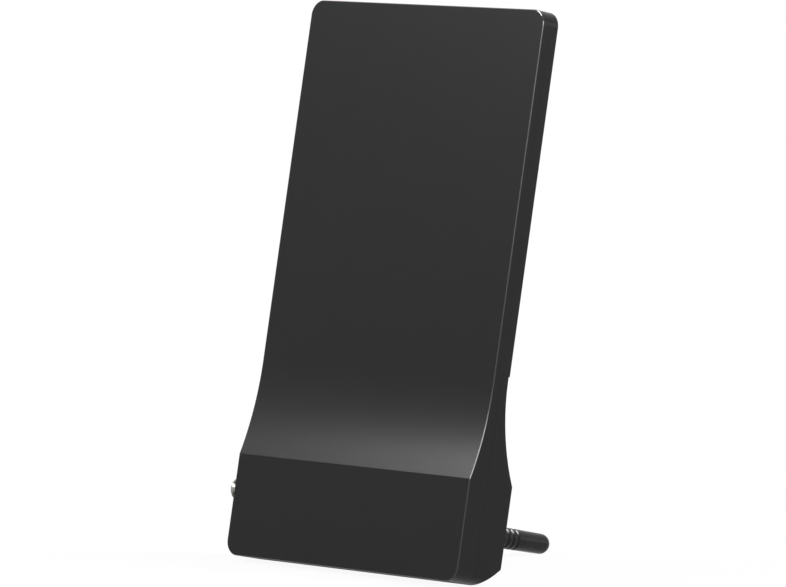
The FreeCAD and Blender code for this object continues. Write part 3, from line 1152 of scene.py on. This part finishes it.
@dataclass
class AerialSocket:
    """Threaded coaxial socket with its nut and washer, on an axis across the part."""

    depth: float = 8.85 * MM
    height: float = 24.5 * MM
    wall_side: float = 60.0 * MM
    wall: float = 1.8 * MM
    reach: float = 12.5 * MM
    crest_radius: float = 4.76 * MM
    root_radius: float = 4.35 * MM
    pitch: float = 0.794 * MM
    bore: float = 3.3 * MM
    flange_flats: float = 10.8 * MM
    flange: float = 2.5 * MM
    tail_radius: float = 4.0 * MM
    tail: float = 4.0 * MM
    washer: float = 0.8 * MM
    washer_radius: float = 6.2 * MM
    nut_flats: float = 11.1 * MM
    nut: float = 2.5 * MM
    nut_play: float = 0.05 * MM
    ease: float = 0.12 * MM
    mouth_ease: float = 0.4 * MM
    ridge_start: float = 0.07
    ridge_end: float = 0.43
    around: int = 72
    steps: int = 6

    def thread_start(self) -> float:
        """Distance of the thread's inner end from the middle plane."""
        return self.wall_side + self.washer + self.nut + self.ease

    def thread_length(self) -> float:
        """Length of the free thread."""
        return self.wall_side + self.reach - self.mouth_ease - self.thread_start()

    def thread_tree(self, material: bpy.types.Material) -> FormTree:
        """Build the tree that cuts the thread: rows of faces that follow the helix.

        Args:
            material: Finish of the socket.

        Returns:
            The finished tree.
        """
        tree = FormTree("socket_thread", {
            "Start": self.thread_start(),
            "Length": self.thread_length(),
            "Root radius": self.root_radius,
            "Ridge": self.crest_radius - self.root_radius,
            "Pitch": self.pitch,
            "Depth": self.depth,
            "Height": self.height,
        })
        given = tree.given
        rows = (math.ceil(self.thread_length() / self.pitch) + 2) * self.steps + 1
        mesh, row, share = tree.ring_grid(rows, self.around)
        # Rows follow the helix and stop at the thread's two ends
        phase = tree.math("DIVIDE", row, float(self.steps))
        turns = tree.total(phase, share, -1.0)
        free = tree.math("MAXIMUM", tree.product(turns, given["Pitch"]), 0.0)
        run = tree.math("MINIMUM", free, given["Length"])
        # The ridge rises once in each pitch, and fades over one pitch at either end
        wave = tree.math("PINGPONG", phase, 0.5)
        ridge = tree.share(wave, self.ridge_start, self.ridge_end)
        lead_in = tree.share(run, 0.0, given["Pitch"])
        left = tree.math("SUBTRACT", given["Length"], run)
        lead_out = tree.share(left, 0.0, given["Pitch"])
        radius = tree.total(given["Root radius"], tree.product(ridge, lead_in, lead_out, given["Ridge"]))
        turn = tree.product(share, 2 * math.pi)
        back = tree.total(given["Depth"], tree.product(radius, tree.math("SINE", turn)))
        up = tree.total(given["Height"], tree.product(radius, tree.math("COSINE", turn)))
        across = tree.math("SUBTRACT", tree.product(-1.0, given["Start"]), run)
        tree.finish(tree.place(mesh, tree.vector(across, back, up)), material)
        return tree

    def round(self, across: float, radius: float) -> Ring:
        """Ring that is a circle, at a distance from the middle plane."""
        return lambda turn: (across, radius)

    def hexagon(self, across: float, flats: float, lean: float) -> Ring:
        """Ring that is a hexagon whose corners are turned off at 30 degrees.

        Args:
            across: Distance of the face from the middle plane.
            flats: Width across flats.
            lean: 1 where the corners step away from the middle plane, -1 where towards it.

        Returns:
            The distance and radius at any angle.
        """
        def at(turn: float) -> tuple[float, float]:
            """Say where the outline lies at an angle.

            Args:
                turn: The angle.

            Returns:
                The distance and radius.
            """
            corner = turn % (math.pi / 3) - math.pi / 6
            radius = flats / 2 / math.cos(corner)
            return across + lean * (radius - flats / 2 + self.ease / 2) * math.tan(math.pi / 6), radius
        return at

    def strip(self, name: str, rings: Sequence[Ring], closed: bool) -> bpy.types.Mesh:
        """Skin a row of rings.

        Args:
            name: Name of the mesh.
            rings: Rings in order.
            closed: Whether the last ring joins the first.

        Returns:
            The mesh.
        """
        bm = bmesh.new()
        lines = []
        for ring in rings:
            line = []
            for turn in angles(self.around):
                across, radius = ring(turn)
                back = self.depth + radius * math.sin(turn)
                line.append(bm.verts.new((-across, back, self.height + radius * math.cos(turn))))
            lines.append(line)
        skin(bm, lines + lines[:1] if closed else lines)
        return mesh_from(name, bm)

    def body_rings(self) -> list[Ring]:
        """List the rings of the body, apart from its thread.

        Returns:
            Rings from the thread's outer end, through the mouth and bore, to the thread's inner end.
        """
        mouth = self.wall_side + self.reach
        inside = self.wall_side - self.wall
        flange_end = inside - self.flange
        tail_end = flange_end - self.tail
        face = self.flange_flats / 2 - self.ease / 2
        return [
            self.round(mouth - self.mouth_ease, self.root_radius),
            self.round(mouth - self.ease, self.root_radius - self.ease),
            self.round(mouth, self.root_radius - 2 * self.ease),
            self.round(mouth, self.bore + self.ease),
            self.round(mouth - self.ease, self.bore),
            self.round(tail_end, self.bore),
            self.round(tail_end, self.tail_radius - self.ease),
            self.round(tail_end + self.ease, self.tail_radius),
            self.round(flange_end, self.tail_radius),
            self.round(flange_end, face),
            self.hexagon(flange_end, self.flange_flats, 1.0),
            self.hexagon(inside, self.flange_flats, -1.0),
            self.round(inside, face),
            self.round(inside, self.root_radius),
            self.round(self.thread_start(), self.root_radius),
        ]

    def nut_rings(self) -> list[Ring]:
        """List the rings of the nut.

        Returns:
            Rings round its section.
        """
        near = self.wall_side + self.washer
        far = near + self.nut
        bore = self.root_radius + self.nut_play
        face = self.nut_flats / 2 - self.ease / 2
        return [
            self.round(near, bore + self.ease),
            self.round(near, face),
            self.hexagon(near, self.nut_flats, 1.0),
            self.hexagon(far, self.nut_flats, -1.0),
            self.round(far, face),
            self.round(far, bore + self.ease),
            self.round(far - self.ease, bore),
            self.round(near + self.ease, bore),
        ]

    def washer_rings(self) -> list[Ring]:
        """List the rings of the washer.

        Returns:
            Rings round its section.
        """
        near, far = self.wall_side, self.wall_side + self.washer
        bore = self.crest_radius + self.nut_play
        ease = self.ease
        return [
            self.round(near, bore),
            self.round(near, self.washer_radius - ease),
            self.round(near + ease, self.washer_radius),
            self.round(far - ease, self.washer_radius),
            self.round(far, self.washer_radius - ease),
            self.round(far, bore),
        ]

    def build(self, placement: Matrix, dresser: Dresser) -> None:
        """Make body, nut and washer.

        Args:
            placement: Placement of upright coordinates.
            dresser: Gives them their finish.
        """
        tree = self.thread_tree(dresser.materials[Slot.NICKEL])
        body = tree.grow("socket_barrel", bpy.data.meshes.new("socket_barrel"))
        weld(body, (self.strip("socket_core", self.body_rings(), closed=False),))
        dresser.lay(body, placement, Slot.NICKEL, "f_socket_body")
        nut = new_object("socket_nut", self.strip("socket_nut", self.nut_rings(), closed=True))
        dresser.lay(nut, placement, Slot.NICKEL, "f_socket_nut")
        washer = new_object("socket_washer", self.strip("socket_washer", self.washer_rings(), closed=True))
        dresser.lay(washer, placement, Slot.NICKEL, "f_socket_washer")


@dataclass
class CaseScrews:
    """Pair of pan-head screws with cross recesses, which hold the rear moulding."""

    name: str
    node: str
    offset: float
    height: float
    seat: float
    length: float
    head_radius: float = 2.8 * MM
    head: float = 2.0 * MM
    shank_radius: float = 1.5 * MM
    recess_reach: float = 1.5 * MM
    recess_half: float = 0.36 * MM
    recess_depth: float = 1.1 * MM
    seat_ease: float = 0.1 * MM
    point_share: float = 0.55
    crown: Pairs = ((0.45, 1.0), (0.75, 0.93), (0.93, 0.8), (1.0, 0.62), (1.0, 0.0))
    punch_point: float = 0.55
    punch_top: float = 1.25
    punch_overshoot: float = 1.0 * MM
    around: int = 40

    def turned(self) -> bpy.types.Mesh:
        """Turn one screw about its own axis.

        Returns:
            Its mesh, with the seat at the origin and the head towards the back.
        """
        section = [
            (-self.length, 0.0),
            (-self.length, self.shank_radius * self.point_share),
            (-self.length + self.shank_radius, self.shank_radius),
            (0.0, self.shank_radius),
            (0.0, self.head_radius - self.seat_ease),
            (self.seat_ease, self.head_radius),
        ]
        section += [(self.head * rise, self.head_radius * share) for rise, share in self.crown]
        bm = bmesh.new()
        turns = angles(self.around)
        rings = []
        for back, radius in section:
            rings.append([bm.verts.new((radius * math.cos(a), back, radius * math.sin(a))) for a in turns])
        skin(bm, rings)
        return mesh_from(self.name, bm)

    def recess(self) -> bpy.types.Mesh:
        """Make the cross-shaped punch, narrower at its point, that leaves the recess.

        Returns:
            Its mesh.
        """
        half, reach = self.recess_half, self.recess_reach
        quarter = [(half, half), (half, reach), (-half, reach)]
        outline = []
        for index in range(4):
            turn = Matrix.Rotation(index * math.pi / 2, 2)
            outline += [turn @ Vector(spot) for spot in quarter]
        bm = bmesh.new()
        rings = []
        for back, scale in ((self.head - self.recess_depth, self.punch_point),
                            (self.head + self.punch_overshoot, self.punch_top)):
            rings.append([bm.verts.new((spot.x * scale, back, spot.y * scale)) for spot in outline])
        skin(bm, rings)
        for ring in rings:
            bm.faces.new(ring)
        return mesh_from("recess_punch", bm)

    def punched(self) -> bpy.types.Mesh:
        """Make one screw with its recess.

        Returns:
            Its mesh.
        """
        screw = new_object(self.name, self.turned())
        punch = new_object("recess_punch", self.recess())
        cut = screw.modifiers.new("recess", "BOOLEAN")
        cut.operation = "DIFFERENCE"
        cut.solver = "EXACT"
        cut.object = punch
        bake_modifiers(screw)
        mesh = screw.data
        bpy.data.objects.remove(screw)
        bpy.data.objects.remove(punch)
        return mesh

    def tree(self, material: bpy.types.Material) -> FormTree:
        """Build the tree that sets a screw on each place.

        Args:
            material: Finish of the screws.

        Returns:
            The finished tree.
        """
        tree = FormTree(self.name, {"Offset": self.offset, "Seat": self.seat, "Height": self.height})
        given = tree.given
        line = tree.node("GeometryNodeMeshLine")
        line.inputs["Count"].default_value = 2
        left = tree.product(-1.0, given["Offset"])
        tree.feed(line.inputs["Start Location"], tree.vector(left, given["Seat"], given["Height"]))
        tree.feed(line.inputs["Offset"], tree.vector(tree.product(2.0, given["Offset"]), 0.0, 0.0))
        placed = tree.node("GeometryNodeInstanceOnPoints")
        tree.feed(placed.inputs["Points"], line.outputs["Mesh"])
        tree.feed(placed.inputs["Instance"], given["Geometry"])
        tree.finish(placed.outputs["Instances"], material)
        return tree

    def build(self, placement: Matrix, dresser: Dresser) -> None:
        """Make the screws and dress them.

        Args:
            placement: Placement of upright coordinates.
            dresser: Gives them their finish.
        """
        screws = self.tree(dresser.materials[Slot.ZINC]).grow(self.name, self.punched())
        weld(screws)
        dresser.lay(screws, placement, Slot.ZINC, self.node)


# Studio

@dataclass(frozen=True)
class Softbox:
    """Rectangular lamp that points at a place on the part."""

    name: str
    azimuth: float
    elevation: float
    distance: float
    width: float
    height: float
    radiance: float
    target: tuple[float, float, float] = (0.0, 0.0, 0.08)
    acts: Acts = Acts.BOTH

    def build(self) -> None:
        """Make the lamp, with the power that gives it its radiance."""
        lamp = bpy.data.lights.new(self.name, "AREA")
        lamp.shape = "RECTANGLE"
        lamp.size = self.width
        lamp.size_y = self.height
        lamp.energy = self.radiance * math.pi * self.width * self.height
        made = bpy.data.objects.new(self.name, lamp)
        away = direction(self.azimuth, self.elevation)
        made.location = Vector(self.target) + away * self.distance
        made.rotation_mode = "QUATERNION"
        made.rotation_quaternion = away.to_track_quat("Z", "Y")
        made.visible_camera = False
        made.visible_diffuse, made.visible_glossy = self.acts.value
        bpy.context.scene.collection.objects.link(made)


def direction(azimuth: float, elevation: float) -> Vector:
    """Unit vector towards a place round the part.

    Args:
        azimuth: Degrees from the front towards the part's right.
        elevation: Degrees above the floor.

    Returns:
        The vector.
    """
    turn, rise = math.radians(azimuth), math.radians(elevation)
    return Vector((math.sin(turn) * math.cos(rise), -math.cos(turn) * math.cos(rise), math.sin(rise)))


@dataclass(frozen=True)
class Viewpoint:
    """The camera: where it looks, from which side, and through which lens."""

    target: tuple[float, float, float] = (0.01311, -0.03282, 0.10030)
    azimuth: float = 46.191
    elevation: float = 4.375
    roll: float = 0.287
    distance: float = 2.64554
    lens: float = 338.65
    sensor: float = 36.0

    def build(self) -> None:
        """Make the camera and let the scene use it."""
        data = bpy.data.cameras.new("viewpoint")
        data.lens = self.lens
        data.sensor_width = self.sensor
        camera = bpy.data.objects.new("viewpoint", data)
        away = direction(self.azimuth, self.elevation)
        camera.location = Vector(self.target) + away * self.distance
        camera.rotation_mode = "QUATERNION"
        level = away.to_track_quat("Z", "Y")
        roll = Matrix.Rotation(math.radians(self.roll), 3, "Z").to_quaternion()
        camera.rotation_quaternion = level @ roll
        bpy.context.scene.collection.objects.link(camera)
        bpy.context.scene.camera = camera


LAMPS: tuple[Softbox, ...] = (
    Softbox("key", azimuth=-37.68, elevation=33.84, distance=1.435, width=0.541, height=0.387,
            radiance=25.7, target=(0.0, -0.040, 0.060)),
    Softbox("edge fill", azimuth=46.0, elevation=17.5, distance=1.6, width=0.45, height=0.33,
            radiance=1.0),
    Softbox("edge light", azimuth=51.0, elevation=27.5, distance=1.8, width=0.45, height=0.68,
            radiance=11.5, acts=Acts.GLOSS),
    Softbox("corner light", azimuth=-32.0, elevation=77.0, distance=1.6, width=1.25, height=0.24,
            radiance=36.0, acts=Acts.GLOSS),
    Softbox("overhead light", azimuth=162.0, elevation=76.0, distance=1.65, width=1.45, height=0.42,
            radiance=42.0, acts=Acts.GLOSS),
    Softbox("side light", azimuth=134.0, elevation=12.0, distance=3.0, width=1.2, height=1.0,
            radiance=1.5),
    Softbox("rear fill", azimuth=118.0, elevation=42.0, distance=2.2, width=0.9, height=0.9,
            radiance=20.0, acts=Acts.MATT),
)


@dataclass
class Studio:
    """Pale floor, white surroundings and soft lamps."""

    ambient: float = 0.3
    floor_size: float = 12.0
    floor_colour: float = 0.9
    glow: float = 0.93
    shadow_near: float = 0.10
    shadow_far: float = 0.30
    lamps: tuple[Softbox, ...] = LAMPS

    def seen_directly(self, tree: ShaderTree) -> bpy.types.NodeSocket:
        """Tell rays from the camera, a gloss or a clear material from other rays.

        Args:
            tree: Tree that asks.

        Returns:
            A socket with 1 for such a ray and 0 for any other.
        """
        path = tree.node("ShaderNodeLightPath")
        shown = tree.math("MAXIMUM", path.outputs["Is Camera Ray"], path.outputs["Is Glossy Ray"])
        return tree.math("MAXIMUM", shown, path.outputs["Is Transmission Ray"])

    def build_world(self) -> None:
        """Make surroundings that look white and light the part softly."""
        world = bpy.data.worlds.new("surroundings")
        bpy.context.scene.world = world
        world.use_nodes = True
        tree = ShaderTree(world.node_tree)
        background = tree.node("ShaderNodeBackground")
        strength = tree.between(self.seen_directly(tree), self.ambient, 1.0)
        tree.feed(background.inputs["Strength"], strength)
        background.inputs["Color"].default_value = (1.0, 1.0, 1.0, 1.0)
        output = tree.node("ShaderNodeOutputWorld")
        tree.feed(output.inputs["Surface"], background.outputs["Background"])

    def floor_finish(self) -> bpy.types.Material:
        """Make a finish that shows the part's shadow nearby and turns white further out.

        Returns:
            The material.
        """
        material = bpy.data.materials.new("pale_floor")
        material.use_nodes = True
        tree = ShaderTree(material.node_tree)
        place = tree.node("ShaderNodeTexCoord").outputs["Object"]
        away = tree.node("ShaderNodeVectorMath", operation="LENGTH")
        tree.feed(away.inputs[0], place)
        fade = tree.node("ShaderNodeMapRange", interpolation_type="SMOOTHSTEP")
        tree.feed(fade.inputs["Value"], away.outputs["Value"])
        fade.inputs["From Min"].default_value = self.shadow_near
        fade.inputs["From Max"].default_value = self.shadow_far
        fade.inputs["To Min"].default_value = self.glow
        fade.inputs["To Max"].default_value = 1.0
        share = tree.product(fade.outputs["Result"], self.seen_directly(tree))
        matt = tree.node("ShaderNodeBsdfDiffuse")
        matt.inputs["Color"].default_value = shaded((1.0, 1.0, 1.0), self.floor_colour)
        white = tree.node("ShaderNodeEmission")
        mix = tree.node("ShaderNodeMixShader")
        tree.feed(mix.inputs[0], share)
        tree.feed(mix.inputs[1], matt.outputs["BSDF"])
        tree.feed(mix.inputs[2], white.outputs["Emission"])
        output = tree.node("ShaderNodeOutputMaterial")
        tree.feed(output.inputs["Surface"], mix.outputs["Shader"])
        return material

    def build_floor(self) -> None:
        """Lay the floor under the part."""
        bm = bmesh.new()
        bmesh.ops.create_grid(bm, x_segments=1, y_segments=1, size=self.floor_size / 2)
        floor = new_object("floor", mesh_from("floor", bm))
        floor.data.materials.append(self.floor_finish())

    def build(self) -> None:
        """Make floor, surroundings, lamps and camera."""
        scene = bpy.context.scene
        scene.view_settings.view_transform = "Standard"
        self.build_world()
        self.build_floor()
        for lamp in self.lamps:
            lamp.build()
        Viewpoint().build()
        log.info("studio: %d lamps", len(self.lamps))


CASE_SCREWS: tuple[CaseScrews, ...] = (
    CaseScrews("base_case_screws", "base_screws", offset=48.0 * MM, height=11.6 * MM, seat=10.0 * MM,
               length=11.0 * MM),
    CaseScrews("neck_case_screws", "neck_screws", offset=48.0 * MM, height=58.0 * MM, seat=6.6 * MM,
               length=6.0 * MM),
)

INNER_PIECES: dict[str, Slot] = {
    "left_radiator": Slot.RADIATOR,
    "right_radiator": Slot.RADIATOR,
    "feed_wires": Slot.WIRE,
    "amplifier_board": Slot.BOARD,
    "shield_can": Slot.TINPLATE,
    "amplifier_chip": Slot.RESIN,
    "chip_parts": Slot.RESIN,
    "balun_core": Slot.FERRITE,
    "f_socket_insulator": Slot.INSULATOR,
    "f_socket_contact": Slot.BRASS,
    "leg_insert": Slot.BRASS,
    "leg_stud": Slot.ZINC,
    "board_screws": Slot.ZINC,
}


def main() -> None:
    """Build every piece in order, then the studio."""
    logging.basicConfig(level=logging.INFO, format="%(message)s")
    leg = PropLeg()
    placement = Stance(leg).matrix()
    dresser = Dresser()
    FrontHousing().build(placement, dresser)
    MouldedShell("rear_shell", "rear_cover", Slot.MOULDING).build(placement, dresser)
    leg.build(placement, dresser)
    AerialSocket().build(placement, dresser)
    for screws in CASE_SCREWS:
        screws.build(placement, dresser)
    for node, slot in INNER_PIECES.items():
        dresser.keep(node, slot)
    Studio().build()


if __name__ == "__main__":
    main()
